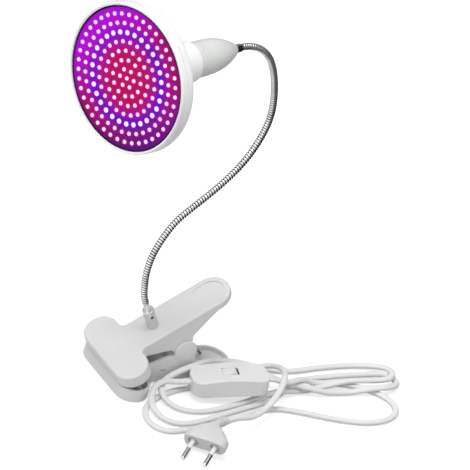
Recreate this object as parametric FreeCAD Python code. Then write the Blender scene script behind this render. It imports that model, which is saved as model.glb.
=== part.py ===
"""Clip-on grow lamp: spring clip, gooseneck, screw lampholder and round LED bulb, on a flat cord.

Millimetres, +Z up. The clip's lower half lies on Z = 0 with its jaws towards -X. The origin is on
that surface, under the clip's pivot axis, which runs along Y.
"""
import FreeCAD, Part
import math
import os

V = FreeCAD.Vector
X_AXIS = V(1, 0, 0)
Y_AXIS = V(0, 1, 0)
Z_AXIS = V(0, 0, 1)
ORIGIN = V(0, 0, 0)

# Clip halves
clip_length = 116.0
jaw_width = 74.0
jaw_run = 28.0
jaw_corner = 13.9
stem_width = 30.5
stem_corner = 15.2
inner_corner = 4.5
shell_wall = 2.2
edge_round = 1.6
jaw_depth = 10.8
pivot_from_lip = 61.5
closed_angle = 30.5
lip_gap = 0.3
lug_radius = 8.0
running_gap = 0.05
side_gap = 0.3
dish_length = 26.5
dish_width = 21.0
dish_depth = 1.0
dish_end_margin = 4.5
rib_wall = 1.4
rib_height = 5.0

# Ears of the lower half, outside the upper half's cheeks
ear_wall = 1.7
boss_radius = 9.7
boss_rise = 1.6
slot_length = 5.0
slot_height = 1.2
cord_notch_width = 6.4
cord_notch_middle = -5.2

# Pivot pin and spring
pin_radius = 2.0
pin_seat_depth = 1.6
spring_wire = 2.0
spring_radius = 7.2
spring_pitch = 2.6
spring_turns = 5
spring_leg_angle = -44.0

# Post, its fixings and the gooseneck's lower collar
post_from_lip = 48.0
post_radius = 4.65
post_height = 19.0
post_edge = 0.5
post_shank_radius = 3.0
post_shank_length = 8.6
post_bore_radius = 2.55
post_bore_depth = 12.0
lead_bore_radius = 1.95
washer_radius = 6.0
washer_height = 1.0
nut_flats = 10.0
nut_height = 3.6
screw_radius = 1.5
screw_drop = 6.0
screw_hex = 1.5
collar_radius = 2.5
collar_bore = 1.6
collar_out = 8.0

# Gooseneck hose, measured from the middle of the post's top
hose_radius = 2.85
hose_bore = 1.7
hose_lead_in = 6.0
neck_lead_radius = 1.4
hose_points = [
    (-9.2, 0, 19.5), (-12.5, 0, 35.0), (-12.2, 0, 52.0), (-7.8, 0, 67.5), (0.6, 0, 85.0), (15.0, 0, 98.0),
    (31.5, 0, 113.5), (47.5, 0, 133.0), (57.0, 0, 155.0), (60.8, 0, 177.0), (57.0, 0, 199.5),
    (50.2, 0.4, 220.4), (42.4, 1.6, 235.0), (31.2, 3.2, 243.8),
]

# Lampholder: distances run forwards from its rear end, where the upper collar enters
holder_from_post_top = (5.0, 0.0, 247.3)
head_turn = 13.7
head_rise = 3.3
upper_collar_radius = 3.35
upper_collar_out = 7.0
upper_collar_in = 7.0
holder_length = 51.0
holder_rear_radius = 4.6
holder_front_radius = 14.3
holder_wall = 0.8
holder_bulge = 1.6
holder_nut_height = 3.0
holder_shoulder = 0.62
holder_shoulder_drop = 0.3
core_from_front = 29.5
core_height = 5.0
core_radius = 10.6
sleeve_wall = 0.25
sleeve_from_front = 16.8
sleeve_mouth = 2.0
sleeve_gap = 0.1
terminal_radius = 1.75
terminal_offset = 8.5
core_start = holder_length - core_from_front
sleeve_start = holder_length - sleeve_from_front
sleeve_end = holder_length - sleeve_mouth

# Bulb: distances run forwards from the holder's rear end too
bulb_gap = 0.3
bulb_length = 70.3
neck_radius = 16.3
neck_length = 21.5
rim_radius = 59.8
rim_wall = 2.6
rim_depth = 11.5
bezel_depth = 4.6
groove_depth = 0.8
groove_width = 1.0
board_recess = 1.6
board_height = 1.6
board_gap = 0.1
bulb_wall = 1.8
cap_radius = 12.7
cap_wall = 0.35
cap_length = 16.2
thread_pitch = 3.6
thread_depth = 0.9
insulator_length = 4.0
insulator_radius = 5.2
tip_radius = 4.2
tip_height = 1.2
contact_gap = 0.1
red_rings = [(0, 1), (1, 6), (2, 12), (3, 18), (4, 24), (6, 36), (7, 42)]
blue_rings = [(5, 30)]
ring_share = 0.126
led_length = 3.5
led_width = 2.8
led_height = 0.8
driver_length = 30.0
driver_gap = 0.1
driver_thickness = 1.6

# Inline switch, in its own frame: length along X from the clip-side end, resting on Z = 0
switch_length = 62.0
switch_width = 25.0
switch_corner = 9.0
switch_height = 16.0
switch_end_height = 12.5
switch_split = 7.5
switch_wall = 1.6
switch_edge = 1.2
rocker_length = 13.4
rocker_width = 9.0
rocker_gap = 0.35
rocker_end_gap = 1.75
rocker_rise = 2.0
rocker_tilt = 15.0
rocker_pin_radius = 1.0
screw_inset = 9.0
screw_side = 7.0
switch_place = (0.3, -33.5, 4.2)
switch_heading = -17.0
switch_pitch = 7.5

# Plug, in its own frame: X runs back from the middle of the flat face, Z is its thin way; its strain
# relief leans over towards the cord
plug_width = 35.3
plug_thickness = 13.7
plug_body_length = 20.0
plug_tail_width = 10.4
plug_tail_thickness = 9.0
relief_radius = 3.1
relief_rib_radius = 4.1
relief_root = 3.0
relief_length = 11.0
relief_lean = (0.843, -0.445, -0.295)
pin_length = 20.0
plug_pin_radius = 2.0
pin_spacing = 18.6
sleeve_cover = 8.0
pin_sleeve_radius = 1.8
plug_pin_neck = 1.4
pin_recess_radius = 4.4
pin_recess_depth = 2.0
plug_place = (-31.1, -107.6, 9.6)
plug_heading = 38.0
plug_pitch = 20.0
plug_roll = -10.0

# Flat cord, drawn as a plain round tube
cord_radius = 2.0
cord_grip = 0.1
lead_radius = 1.9
lead_meeting_x = 30.0
clip_lead_points = [(-13.0, 0.0, 21.0), (-3.5, 0.0, 12.4), (7.0, -1.6, 7.4), (17.0, -3.0, 4.25)]

# From the lower handle's notch, out to the far loops, back round the near loops and into the switch
first_cord_points = [
    (46.0, -3.0, 4.25), (62.0, -9.0, 4.25), (80.0, -19.0, 2.05), (100.0, -25.5, 2.05), (124.0, -24.6, 2.05),
    (150.0, -26.0, 2.05), (168.0, -29.5, 2.3), (178.5, -36.0, 4.4), (182.0, -45.0, 6.6), (176.0, -53.5, 6.6),
    (165.0, -54.5, 6.6), (152.0, -52.0, 6.5), (137.0, -49.8, 6.4), (125.0, -49.2, 4.6), (113.0, -48.7, 2.05),
    (96.0, -49.8, 2.05), (84.0, -51.4, 4.8), (72.0, -52.4, 6.6), (58.0, -53.2, 5.6), (42.0, -54.6, 2.1),
    (22.0, -58.0, 2.05), (0.0, -60.5, 2.05), (-18.0, -55.5, 2.05), (-27.0, -45.0, 3.8), (-27.5, -35.5, 6.8),
    (-23.0, -27.5, 7.2), (-15.5, -22.8, 9.6), (-5.0, -23.0, 15.0), (8.0, -22.4, 18.2), (22.0, -17.2, 16.4),
    (38.0, -12.5, 11.7), (51.0, -16.0, 9.8), (60.3, -24.3, 10.6), (66.7, -31.7, 11.2), (71.8, -38.9, 10.6),
    (77.7, -44.6, 9.6), (85.0, -48.4, 8.6), (94.0, -52.2, 8.0), (104.0, -55.0, 5.6), (114.0, -56.6, 3.2),
    (125.0, -57.4, 2.05), (134.0, -58.8, 2.2), (142.0, -60.8, 4.0), (151.0, -63.0, 6.6), (163.0, -63.8, 6.6),
    (174.0, -61.6, 4.6), (182.0, -55.0, 2.2), (182.0, -46.5, 2.05), (174.0, -41.0, 2.05), (160.0, -39.6, 2.05),
    (138.0, -37.2, 2.05), (111.0, -36.0, 2.05), (94.0, -38.4, 2.05), (84.0, -43.6, 2.05), (75.0, -50.6, 2.05),
    (63.0, -56.0, 2.05), (48.0, -59.8, 2.05), (27.0, -63.4, 2.05), (1.0, -69.0, 2.05), (-24.0, -72.6, 2.05),
    (-39.0, -66.0, 2.2), (-44.0, -53.0, 4.6), (-40.5, -41.5, 6.8), (-33.5, -32.5, 9.6), (-24.0, -28.6, 12.0),
]
# From the switch, out to the near far loop, back, round the widest near loop, under the switch, over the
# bundle as its tie, and into the plug
second_cord_points = [
    (75.0, -52.8, 14.4), (86.0, -50.4, 13.6), (94.5, -47.2, 12.0), (103.0, -44.6, 6.6), (112.0, -43.2, 2.6),
    (124.0, -44.6, 2.05), (138.0, -49.0, 2.05), (151.0, -57.0, 2.05), (160.0, -66.5, 2.05), (164.5, -77.5, 2.05),
    (161.0, -89.5, 2.05), (149.0, -97.5, 2.05), (129.0, -98.5, 2.05), (104.0, -89.0, 2.05), (83.0, -76.5, 2.05),
    (64.0, -67.0, 2.05), (44.0, -66.8, 2.05), (18.0, -73.0, 2.05), (-8.0, -77.6, 2.05), (-30.0, -79.0, 2.05),
    (-47.0, -77.6, 2.05), (-54.5, -66.0, 2.05), (-51.0, -50.5, 2.05), (-38.5, -39.5, 2.05), (-22.0, -33.0, 2.05),
    (-4.0, -29.0, 2.05), (16.0, -30.4, 2.05), (34.0, -29.6, 2.6), (48.0, -25.6, 4.6), (58.0, -22.0, 5.8),
    (67.0, -20.8, 6.8), (74.8, -24.2, 10.4), (79.0, -31.0, 14.8), (79.4, -39.4, 18.2), (75.6, -48.6, 20.6),
    (69.0, -58.4, 20.2), (61.0, -65.5, 16.4), (51.6, -72.2, 13.0), (38.0, -80.4, 11.8), (24.0, -87.6, 13.8),
    (13.0, -91.0, 17.2),
]

# Places that follow from the sizes
half_angle = closed_angle / 2
pivot_height = jaw_depth + lip_gap / 2 + pivot_from_lip * math.tan(math.radians(half_angle))
stem_side = stem_width / 2
ear_inner = stem_side + side_gap
ear_outer = ear_inner + ear_wall
collar_below = post_bore_depth - running_gap


def rounded_face(corners):
    """A flat face from (x, y, radius) corners, taken in order, with each corner rounded by its own arc."""
    count = len(corners)
    arcs = []
    for i, (x, y, radius) in enumerate(corners):
        here = V(x, y, 0)
        before = V(corners[i - 1][0], corners[i - 1][1], 0) - here
        after = V(corners[(i + 1) % count][0], corners[(i + 1) % count][1], 0) - here
        before.normalize()
        after.normalize()
        if radius == 0:
            arcs.append((here, None, here))
            continue
        half = before.getAngle(after) / 2
        reach = radius / math.tan(half)
        inward = before + after
        inward.normalize()
        middle = here + inward * (radius / math.sin(half) - radius)
        arcs.append((here + before * reach, middle, here + after * reach))
    edges = []
    for i, (start, middle, end) in enumerate(arcs):
        if middle is not None:
            edges.append(Part.Arc(start, middle, end).toShape())
        following = arcs[(i + 1) % count][0]
        if end.distanceToPoint(following) > 1e-6:
            edges.append(Part.LineSegment(end, following).toShape())
    return Part.Face(Part.Wire(edges))


def side_plate(outline, low_y, high_y):
    """A plate between two Y values from an outline of (x, z) points."""
    points = [V(x, low_y, z) for x, z in outline]
    face = Part.Face(Part.makePolygon(points + points[:1]))
    return face.extrude(V(0, high_y - low_y, 0))


def turned(profile):
    """A solid of revolution about Z from a closed profile of (radius, z) points."""
    points = [V(r, 0, z) for r, z in profile]
    face = Part.Face(Part.makePolygon(points + points[:1]))
    return face.revolve(ORIGIN, Z_AXIS, 360)


def ring(outer, inner, low_z, high_z):
    """A round tube about Z."""
    tube = Part.makeCylinder(outer, high_z - low_z, V(0, 0, low_z))
    return tube.cut(Part.makeCylinder(inner, high_z - low_z, V(0, 0, low_z)))


def hexagon(flats, height, low_z):
    """A hexagonal prism about Z, measured across its flats."""
    reach = flats / 2 / math.cos(math.pi / 6)
    points = [V(reach * math.cos(k * math.pi / 3), reach * math.sin(k * math.pi / 3), low_z) for k in range(7)]
    return Part.Face(Part.makePolygon(points)).extrude(V(0, 0, height))


def arc_path(points, share=0.45):
    """Straight runs between the points, joined by tangent arcs as large as their runs allow."""
    edges = []
    radii = []
    start = points[0]
    for before, here, after in zip(points, points[1:], points[2:]):
        back = before - here
        ahead = after - here
        shorter = min(back.Length, ahead.Length)
        back.normalize()
        ahead.normalize()
        half = back.getAngle(ahead) / 2
        reach = share * shorter
        radius = reach * math.tan(half)
        inward = back + ahead
        inward.normalize()
        middle = here + inward * (radius / math.sin(half) - radius)
        edges.append(Part.LineSegment(start, here + back * reach).toShape())
        edges.append(Part.Arc(here + back * reach, middle, here + ahead * reach).toShape())
        start = here + ahead * reach
        radii.append(radius)
    edges.append(Part.LineSegment(start, points[-1]).toShape())
    return Part.Wire(edges), radii


def tube(points, radius, label):
    """A round bar along the points; its volume is compared with its section times its length."""
    path, radii = arc_path(points)
    ahead = points[1] - points[0]
    section = Part.Wire(Part.makeCircle(radius, points[0], ahead))
    bar = path.makePipeShell([section], True, False)
    expected = math.pi * radius ** 2 * path.Length
    print(f"{label}: length {path.Length:.1f}, tightest bend {min(radii):.1f}, volume ratio {bar.Volume / expected:.4f}")
    return bar


def save(name, shape):
    shape.exportStep(os.path.join("parts", name + ".step"))
    solids = len(shape.Solids)
    print(f"{name}: {solids} solid(s), volume {shape.Volume:.1f}, valid {shape.isValid()}")


# Places in the closed upper half
def upper_place(shape):
    """Puts a shape drawn in the lower half's frame into the upper half: mirrored, then closed on the pivot."""
    pivot = V(0, 0, pivot_height)
    placed = shape.copy()
    placed.translate(-pivot)
    placed = placed.mirror(ORIGIN, Z_AXIS)
    placed.rotate(ORIGIN, Y_AXIS, -closed_angle)
    placed.translate(pivot)
    return placed


def upper_point(x, y, depth):
    """The place in the closed upper half of a point drawn in the lower half's frame."""
    angle = math.radians(closed_angle)
    across = pivot_height - depth
    return V(x * math.cos(angle) - across * math.sin(angle), y,
             pivot_height + x * math.sin(angle) + across * math.cos(angle))


post_axis = upper_point(0, 0, -1) - upper_point(0, 0, 0)
post_foot = upper_point(post_from_lip - pivot_from_lip, 0, 0)
post_top = post_foot + post_axis * post_height


def post_place(shape):
    """Puts a shape drawn about Z, with Z = 0 on the upper half's outer face, onto the post's axis."""
    placed = shape.copy()
    placed.rotate(ORIGIN, Y_AXIS, -closed_angle)
    placed.translate(post_foot)
    return placed


# Direction of the head, from the gooseneck to the bulb's face
head_axis = V(
    -math.cos(math.radians(head_rise)) * math.cos(math.radians(head_turn)),
    -math.cos(math.radians(head_rise)) * math.sin(math.radians(head_turn)),
    math.sin(math.radians(head_rise)),
)
head_rear = post_top + V(*holder_from_post_top)


def head_place(shape):
    """Puts a shape drawn about Z, with Z = 0 at the holder's rear end, onto the head's axis."""
    placed = shape.copy()
    turn = FreeCAD.Rotation(Z_AXIS, head_axis)
    placed.Placement = FreeCAD.Placement(head_rear, turn).multiply(placed.Placement)
    return placed


# Clip halves: drawn with X from the pivot, the outer face on Z = 0 and the inside upwards
def clip_outline(inset):
    """The T-shaped outline of a clip half, moved inwards all round."""
    lip = -pivot_from_lip + inset
    back = -pivot_from_lip + jaw_run - inset
    end = clip_length - pivot_from_lip - inset
    wide = jaw_width / 2 - inset
    narrow = stem_side - inset
    corner = jaw_corner - inset
    return rounded_face([
        (lip, -wide, corner), (back, -wide, corner), (back, -narrow, inner_corner + inset),
        (end, -narrow, stem_corner - inset), (end, narrow, stem_corner - inset),
        (back, narrow, inner_corner + inset), (back, wide, corner), (lip, wide, corner),
    ])


def clip_shell(side_profile, lug):
    """A shell of the T outline, cut to a side profile of (distance from the lip, depth) points."""
    outer = clip_outline(0).extrude(V(0, 0, pivot_height + 2 * lug_radius))
    rim = [edge for edge in outer.Edges if edge.BoundBox.ZMax < 1e-6]
    outer = outer.makeFillet(edge_round, rim)
    inner = clip_outline(shell_wall).extrude(V(0, 0, pivot_height + 3 * lug_radius))
    inner.translate(V(0, 0, shell_wall))
    wide = jaw_width
    keep = side_plate([(x - pivot_from_lip, z) for x, z in side_profile], -wide, wide)
    if lug:
        disc = Part.makeCylinder(lug_radius, 2 * wide, V(0, -wide, pivot_height), Y_AXIS)
        keep = keep.fuse(disc)
    shell = outer.cut(inner).common(keep)
    return shell.removeSplitter()


def clip_ribs(places, height):
    """Cross ribs inside a half, standing on its plate from side wall to side wall."""
    hollow = clip_outline(shell_wall - 0.2).extrude(V(0, 0, height + 0.2))
    hollow.translate(V(0, 0, shell_wall - 0.2))
    ribs = []
    for place in places:
        slab = Part.makeBox(rib_wall, jaw_width, height + shell_wall)
        slab.translate(V(place - pivot_from_lip - rib_wall / 2, -jaw_width / 2, 0))
        ribs.append(slab.common(hollow))
    return ribs


def finger_dish():
    """The shallow dish pressed into the outer face near the handle's end."""
    end = clip_length - pivot_from_lip - dish_end_margin
    start = end - dish_length
    side = dish_width / 2
    corner = side - 0.1
    face = rounded_face([(start, -side, corner), (end, -side, corner), (end, side, corner), (start, side, corner)])
    return face.extrude(V(0, 0, dish_depth))


# Depths of the side walls, as (distance from the lip, depth), from behind the pivot to the handle's end
handle_profile = [(pivot_from_lip + 10.6, 17.6), (pivot_from_lip + 24.7, 11.0), (pivot_from_lip + 35.6, 6.6),
                  (clip_length, 5.6), (clip_length, 0)]
cheek_run = 4.0
upper_cheek_front = 9.6
upper_cheek_back = 18.6
lower_cheek_front = 17.4
lower_cheek_back = 24.6
rib_places = [10.0, 19.0]


def make_upper_half():
    jaw_end = jaw_run - shell_wall
    front = [(0, 0), (0, jaw_depth), (jaw_end, jaw_depth), (jaw_end + cheek_run, upper_cheek_front),
             (pivot_from_lip - 10.5, upper_cheek_back)]
    lug_sides = [(pivot_from_lip - 6.0, pivot_height), (pivot_from_lip + 6.0, pivot_height)]
    shell = clip_shell(front + lug_sides + handle_profile, True)
    shell = shell.multiFuse(clip_ribs(rib_places, rib_height))
    shell = shell.cut(finger_dish())
    pin_hole = Part.makeCylinder(pin_radius + running_gap, stem_width, V(0, -stem_side, pivot_height), Y_AXIS)
    shell = shell.cut(pin_hole)
    shell = shell.cut(Part.makeCylinder(post_shank_radius, shell_wall, V(post_from_lip - pivot_from_lip, 0, 0)))
    return upper_place(shell.removeSplitter())


def make_ear(side):
    """One ear of the lower half: a plate outside the upper cheek, with a domed boss round the pin."""
    radius = boss_radius
    front = jaw_run - pivot_from_lip
    front_top = jaw_depth + (lower_cheek_front - jaw_depth) * shell_wall / cheek_run
    plate = side_plate(
        [(front, shell_wall), (front, front_top), (front - shell_wall + cheek_run, lower_cheek_front),
         (-11.5, lower_cheek_back), (-10.0, pivot_height - 2.5), (0, pivot_height), (9.0, pivot_height - 3.0),
         (16.0, shell_wall)], ear_inner, ear_outer)
    boss = Part.makeCylinder(radius, ear_wall, V(0, ear_inner, pivot_height), Y_AXIS)
    dome_radius = (radius ** 2 + boss_rise ** 2) / (2 * boss_rise)
    dome = Part.makeSphere(dome_radius, V(0, ear_outer + boss_rise - dome_radius, pivot_height))
    dome = dome.common(Part.makeCylinder(radius, 2 * boss_rise, V(0, ear_outer, pivot_height), Y_AXIS))
    foot_top = pivot_height - lug_radius - 1.0
    foot = side_plate([(front, shell_wall), (front, front_top), (front - shell_wall + cheek_run, lower_cheek_front),
                       (-14.2, foot_top), (12.6, foot_top), (16.0, shell_wall)], stem_side - 0.4, ear_inner + 0.1)
    ear = plate.multiFuse([boss, dome, foot])
    ear = ear.cut(Part.makeCylinder(pin_radius, pin_seat_depth + side_gap, V(0, ear_inner - side_gap, pivot_height),
                                    Y_AXIS))
    if side < 0:
        ear = ear.mirror(ORIGIN, Y_AXIS)
    return ear


def make_lower_half():
    jaw_end = jaw_run - shell_wall
    front = [(0, 0), (0, jaw_depth), (jaw_end, jaw_depth), (jaw_end + cheek_run, lower_cheek_front),
             (pivot_from_lip - 11.5, lower_cheek_back)]
    saddle = [(pivot_from_lip - 6.0, handle_profile[0][1]), (pivot_from_lip + 8.0, handle_profile[0][1])]
    shell = clip_shell(front + saddle + handle_profile, False)
    clearance = Part.makeCylinder(lug_radius + 1.0, stem_width, V(0, -stem_side, pivot_height), Y_AXIS)
    shell = shell.cut(clearance)
    shell = shell.multiFuse(clip_ribs(rib_places, rib_height) + [make_ear(1), make_ear(-1)])
    slot = Part.makeBox(slot_length, jaw_width, slot_height, V(-17.0 - slot_length / 2, -jaw_width / 2, 12.2))
    shell = shell.cut(slot)
    end = clip_length - pivot_from_lip
    notch = Part.makeBox(3 * shell_wall, cord_notch_width, jaw_depth,
                         V(end - 2 * shell_wall, cord_notch_middle - cord_notch_width / 2, shell_wall))
    shell = shell.cut(notch)
    return shell.removeSplitter()


# The cord leaves the lower handle's end through a notch
cord_exit_x = clip_length - pivot_from_lip
cord_exit_y = -3.0
cord_exit_z = shell_wall + running_gap + cord_radius
cord_meeting = V(lead_meeting_x, cord_exit_y, cord_exit_z)


def make_pivot_pin():
    reach = ear_inner + pin_seat_depth
    return Part.makeCylinder(pin_radius, 2 * reach, V(0, -reach, pivot_height), Y_AXIS)


def make_torsion_spring():
    """A coil about the pin, with one leg on each handle's plate; the legs cross in the side view."""
    leave = math.radians(spring_leg_angle + 90)
    sweep = 360 * spring_turns + 2 * (half_angle - math.degrees(leave))
    height = spring_pitch * sweep / 360
    helix = Part.makeHelix(spring_pitch, height, spring_radius)
    # A helix winds about Z from +X; here it winds about Y, from the lower leg's tangent point
    helix.rotate(ORIGIN, X_AXIS, 90)
    helix.rotate(ORIGIN, Y_AXIS, -math.degrees(leave))
    helix.translate(V(0, height / 2, pivot_height))
    coil = helix.Edges[0]
    first = coil.valueAt(coil.FirstParameter)
    last = coil.valueAt(coil.LastParameter)
    into = coil.tangentAt(coil.FirstParameter)
    out = coil.tangentAt(coil.LastParameter)
    leg = (first.z - shell_wall - spring_wire / 2 - 0.1) / into.z * -1
    leg = abs(leg)
    start = first - into * leg
    finish = last + out * leg
    path = Part.Wire([Part.LineSegment(start, first).toShape()] + list(helix.Edges)
                     + [Part.LineSegment(last, finish).toShape()])
    section = Part.Wire(Part.makeCircle(spring_wire / 2, start, into))
    return path.makePipeShell([section], True, True)


# Post and its fixings, drawn about Z with Z = 0 on the upper half's outer face
def make_post():
    body = Part.makeCylinder(post_radius, post_height)
    body = body.makeFillet(post_edge, [body.Edges[0]])
    body = body.fuse(Part.makeCylinder(post_shank_radius, post_shank_length, V(0, 0, -post_shank_length)))
    body = body.cut(Part.makeCylinder(post_bore_radius, post_bore_depth, V(0, 0, post_height - post_bore_depth)))
    body = body.cut(Part.makeCylinder(lead_bore_radius, 2 * post_height, V(0, 0, -post_height)))
    body = body.cut(set_screw_bar(post_radius + 1))
    return post_place(body)


def set_screw_bar(reach):
    height = post_height - screw_drop
    return Part.makeCylinder(screw_radius, reach - collar_radius - running_gap,
                             V(0, -reach, height), Y_AXIS)


def make_set_screw():
    screw = set_screw_bar(post_radius - 0.5)
    socket = hexagon(screw_hex, 1.2, 0)
    socket.rotate(ORIGIN, X_AXIS, -90)
    socket.translate(V(0, -(post_radius - 0.5), post_height - screw_drop))
    return post_place(screw.cut(socket))


def make_post_washer():
    return post_place(ring(washer_radius, post_shank_radius, -shell_wall - washer_height, -shell_wall))


def make_post_nut():
    low = -shell_wall - washer_height - nut_height
    nut = hexagon(nut_flats, nut_height, low)
    return post_place(nut.cut(Part.makeCylinder(post_shank_radius, nut_height, V(0, 0, low))))


def make_lower_collar():
    return post_place(ring(collar_radius, collar_bore, post_height - collar_below, post_height + collar_out))


# Gooseneck
def hose_route():
    """The hose's path, from the lower collar's mouth to the upper collar's mouth."""
    start = post_top + post_axis * collar_out
    end = head_rear - head_axis * upper_collar_out
    middle = [post_top + V(*point) for point in hose_points]
    return [start, start + post_axis * hose_lead_in] + middle + [end - head_axis * hose_lead_in, end]


def make_gooseneck_hose():
    route = hose_route()
    outer = tube(route, hose_radius, "gooseneck_hose")
    return outer.cut(tube(route, hose_bore, "hose bore"))


def make_neck_lead():
    start = post_top - post_axis * collar_below
    end = head_rear + head_axis * core_start
    return tube([start] + hose_route()[1:-1] + [end], neck_lead_radius, "neck_lead")


# Lampholder, drawn about Z with Z = 0 at its rear end
def make_upper_collar():
    return head_place(ring(upper_collar_radius, hose_bore, -upper_collar_out, upper_collar_in))


def holder_curve(inset):
    """The lampholder's outer curve from rear to front, moved inwards."""
    rear = V(holder_rear_radius - inset, 0, 0)
    shoulder = V(holder_front_radius - holder_shoulder_drop - inset, 0, holder_shoulder * holder_length)
    middle = (rear + shoulder) / 2 + V(holder_bulge, 0, -holder_bulge)
    front = V(holder_front_radius - inset, 0, holder_length - 11.0)
    return rear, middle, shoulder, front


def make_holder_shell():
    def bell(inset, low, high):
        rear, middle, shoulder, front = holder_curve(inset)
        edges = [
            Part.LineSegment(V(0, 0, rear.z), rear).toShape(),
            Part.Arc(rear, middle, shoulder).toShape(),
            Part.LineSegment(shoulder, front).toShape(),
            Part.LineSegment(front, V(front.x, 0, high)).toShape(),
            Part.LineSegment(V(front.x, 0, high), V(0, 0, high)).toShape(),
            Part.LineSegment(V(0, 0, high), V(0, 0, rear.z)).toShape(),
        ]
        solid = Part.Face(Part.Wire(edges)).revolve(ORIGIN, Z_AXIS, 360)
        return solid.common(Part.makeCylinder(4 * holder_front_radius, high - low, V(0, 0, low)))
    shell = bell(0, 0, holder_length).cut(bell(holder_wall, 2.2, holder_length + 1))
    for place in (holder_length - 9.5, holder_length - 6.5):
        groove = ring(holder_front_radius + 1, holder_front_radius - 0.4, place, place + 0.9)
        shell = shell.cut(groove)
    shell = shell.cut(Part.makeCylinder(upper_collar_radius, 10, V(0, 0, -1)))
    return head_place(shell.removeSplitter())


def make_holder_nut():
    nut = hexagon(2 * upper_collar_radius + 0.9, holder_nut_height, 2.3)
    return head_place(nut.cut(Part.makeCylinder(upper_collar_radius, 10, V(0, 0, 0))))


def make_socket_core():
    return head_place(turned([(0, core_start), (core_radius - 0.6, core_start), (core_radius, core_start + 2.0),
                              (core_radius, core_start + core_height), (0, core_start + core_height)]))


def make_screw_sleeve():
    """The thin threaded sleeve, drawn plain, with a tapering skirt down to the core."""
    inner = cap_radius + sleeve_gap
    low = core_start + core_height
    return head_place(turned([
        (core_radius - sleeve_wall, low), (core_radius, low), (inner + sleeve_wall, sleeve_start),
        (inner + sleeve_wall, sleeve_end), (inner, sleeve_end), (inner, sleeve_start),
    ]))


def make_centre_contact():
    low = core_start + core_height
    high = contact_height
    leaf = Part.makeBox(7.0, 4.0, 0.4, V(-3.5, -2.0, high - 0.4))
    leg = Part.makeBox(0.6, 4.0, high - low, V(-4.1, -2.0, low))
    foot = Part.makeBox(3.0, 4.0, 0.4, V(-4.1, -2.0, low))
    return head_place(leaf.multiFuse([leg, foot]).removeSplitter())


def make_terminal_screws():
    screws = []
    for side in (-1, 1):
        shank = Part.makeCylinder(terminal_radius, 2.0, V(0, side * terminal_offset, core_start - 2.0))
        slot = Part.makeBox(2 * terminal_radius, 0.6, 0.8,
                            V(-terminal_radius, side * terminal_offset - 0.3, core_start - 2.0))
        screws.append(head_place(shank.cut(slot)))
    return Part.makeCompound(screws)


# Bulb
face_radius = rim_radius - rim_wall
bulb_rear = holder_length + bulb_gap
face_height = bulb_rear + bulb_length
cap_end = bulb_rear - cap_length
tip_end = cap_end - insulator_length - tip_height
contact_height = tip_end - contact_gap
board_front = face_height - board_recess
board_back = board_front - board_height
driver_low = bulb_rear + 2.6


def make_bulb_housing():
    """The flared shell: a neck, a shallow cone and a stepped rim."""
    neck_end = bulb_rear + neck_length
    rim_start = face_height - rim_depth
    outer = [
        (cap_radius + 0.6, bulb_rear), (neck_radius - 0.8, bulb_rear), (neck_radius, bulb_rear + 1.2),
        (neck_radius, neck_end), (neck_radius + 3.0, neck_end + 2.2),
        (rim_radius - 2.6, rim_start - 2.2), (rim_radius - 0.6, rim_start - 0.8), (rim_radius, rim_start + 0.8),
        (rim_radius, face_height - bezel_depth - groove_width),
        (rim_radius - groove_depth, face_height - bezel_depth - groove_width),
        (rim_radius - groove_depth, face_height - bezel_depth), (rim_radius - 0.2, face_height - bezel_depth),
        (rim_radius - 0.5, face_height - 1.0), (face_radius + 1.2, face_height),
        (face_radius, face_height - 0.4), (face_radius, board_back),
    ]
    cone = bulb_wall
    inner = [
        (face_radius - 2.4, board_back), (face_radius - 2.4, rim_start + cone), (neck_radius + 3.0, neck_end + 2.2 + cone),
        (neck_radius - bulb_wall, neck_end + 0.8), (neck_radius - bulb_wall, bulb_rear + 2.0),
        (cap_radius + 0.6, bulb_rear + 2.0),
    ]
    shell = turned(outer + inner)
    lip = turned([(face_radius, board_back), (face_radius - 2.4, board_back), (face_radius - 2.4, board_back - 1.5),
                  (face_radius, board_back - 1.5)])
    return head_place(shell.fuse(lip).removeSplitter())


def make_led_board():
    return head_place(Part.makeCylinder(face_radius - board_gap, board_height, V(0, 0, board_back)))


def make_leds(rings):
    """The LEDs of some rings, each a small block on the board with its long side across the radius."""
    leds = []
    for step, count in rings:
        radius = step * ring_share * face_radius
        for k in range(count):
            led = Part.makeBox(led_width, led_length, led_height,
                               V(radius - led_width / 2, -led_length / 2, board_front))
            led.rotate(ORIGIN, Z_AXIS, 360 * k / count)
            leds.append(head_place(led))
    return Part.makeCompound(leds)


def make_screw_cap():
    """The Edison cap: a thin shell whose rolled thread is drawn as rings, with its rim on the housing."""
    profile = []
    inner = cap_radius - cap_wall - thread_depth
    turns = int((cap_length - 3.0) / thread_pitch)
    profile.append((inner, cap_end))
    profile.append((cap_radius - thread_depth, cap_end))
    for k in range(turns):
        low = cap_end + 0.8 + k * thread_pitch
        profile.append((cap_radius - thread_depth, low))
        profile.append((cap_radius, low + 0.35 * thread_pitch))
        profile.append((cap_radius, low + 0.6 * thread_pitch))
        profile.append((cap_radius - thread_depth, low + 0.95 * thread_pitch))
    profile.append((cap_radius, bulb_rear - 0.8))
    profile.append((cap_radius + 0.6, bulb_rear + 2.0))
    profile.append((cap_radius + 0.6 - cap_wall, bulb_rear + 2.0))
    profile.append((inner, bulb_rear - 1.2))
    return head_place(turned(profile))


def make_base_insulator():
    inner = cap_radius - cap_wall - thread_depth
    return head_place(turned([
        (0, cap_end - insulator_length), (insulator_radius, cap_end - insulator_length),
        (inner + 0.6, cap_end), (inner, cap_end), (inner, cap_end + 1.6), (0, cap_end + 1.6),
    ]))


def make_contact_tip():
    low = cap_end - insulator_length
    tip = Part.makeCylinder(tip_radius, tip_height, V(0, 0, low - tip_height))
    return head_place(tip.makeFillet(0.5, [tip.Edges[2]]))


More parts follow.
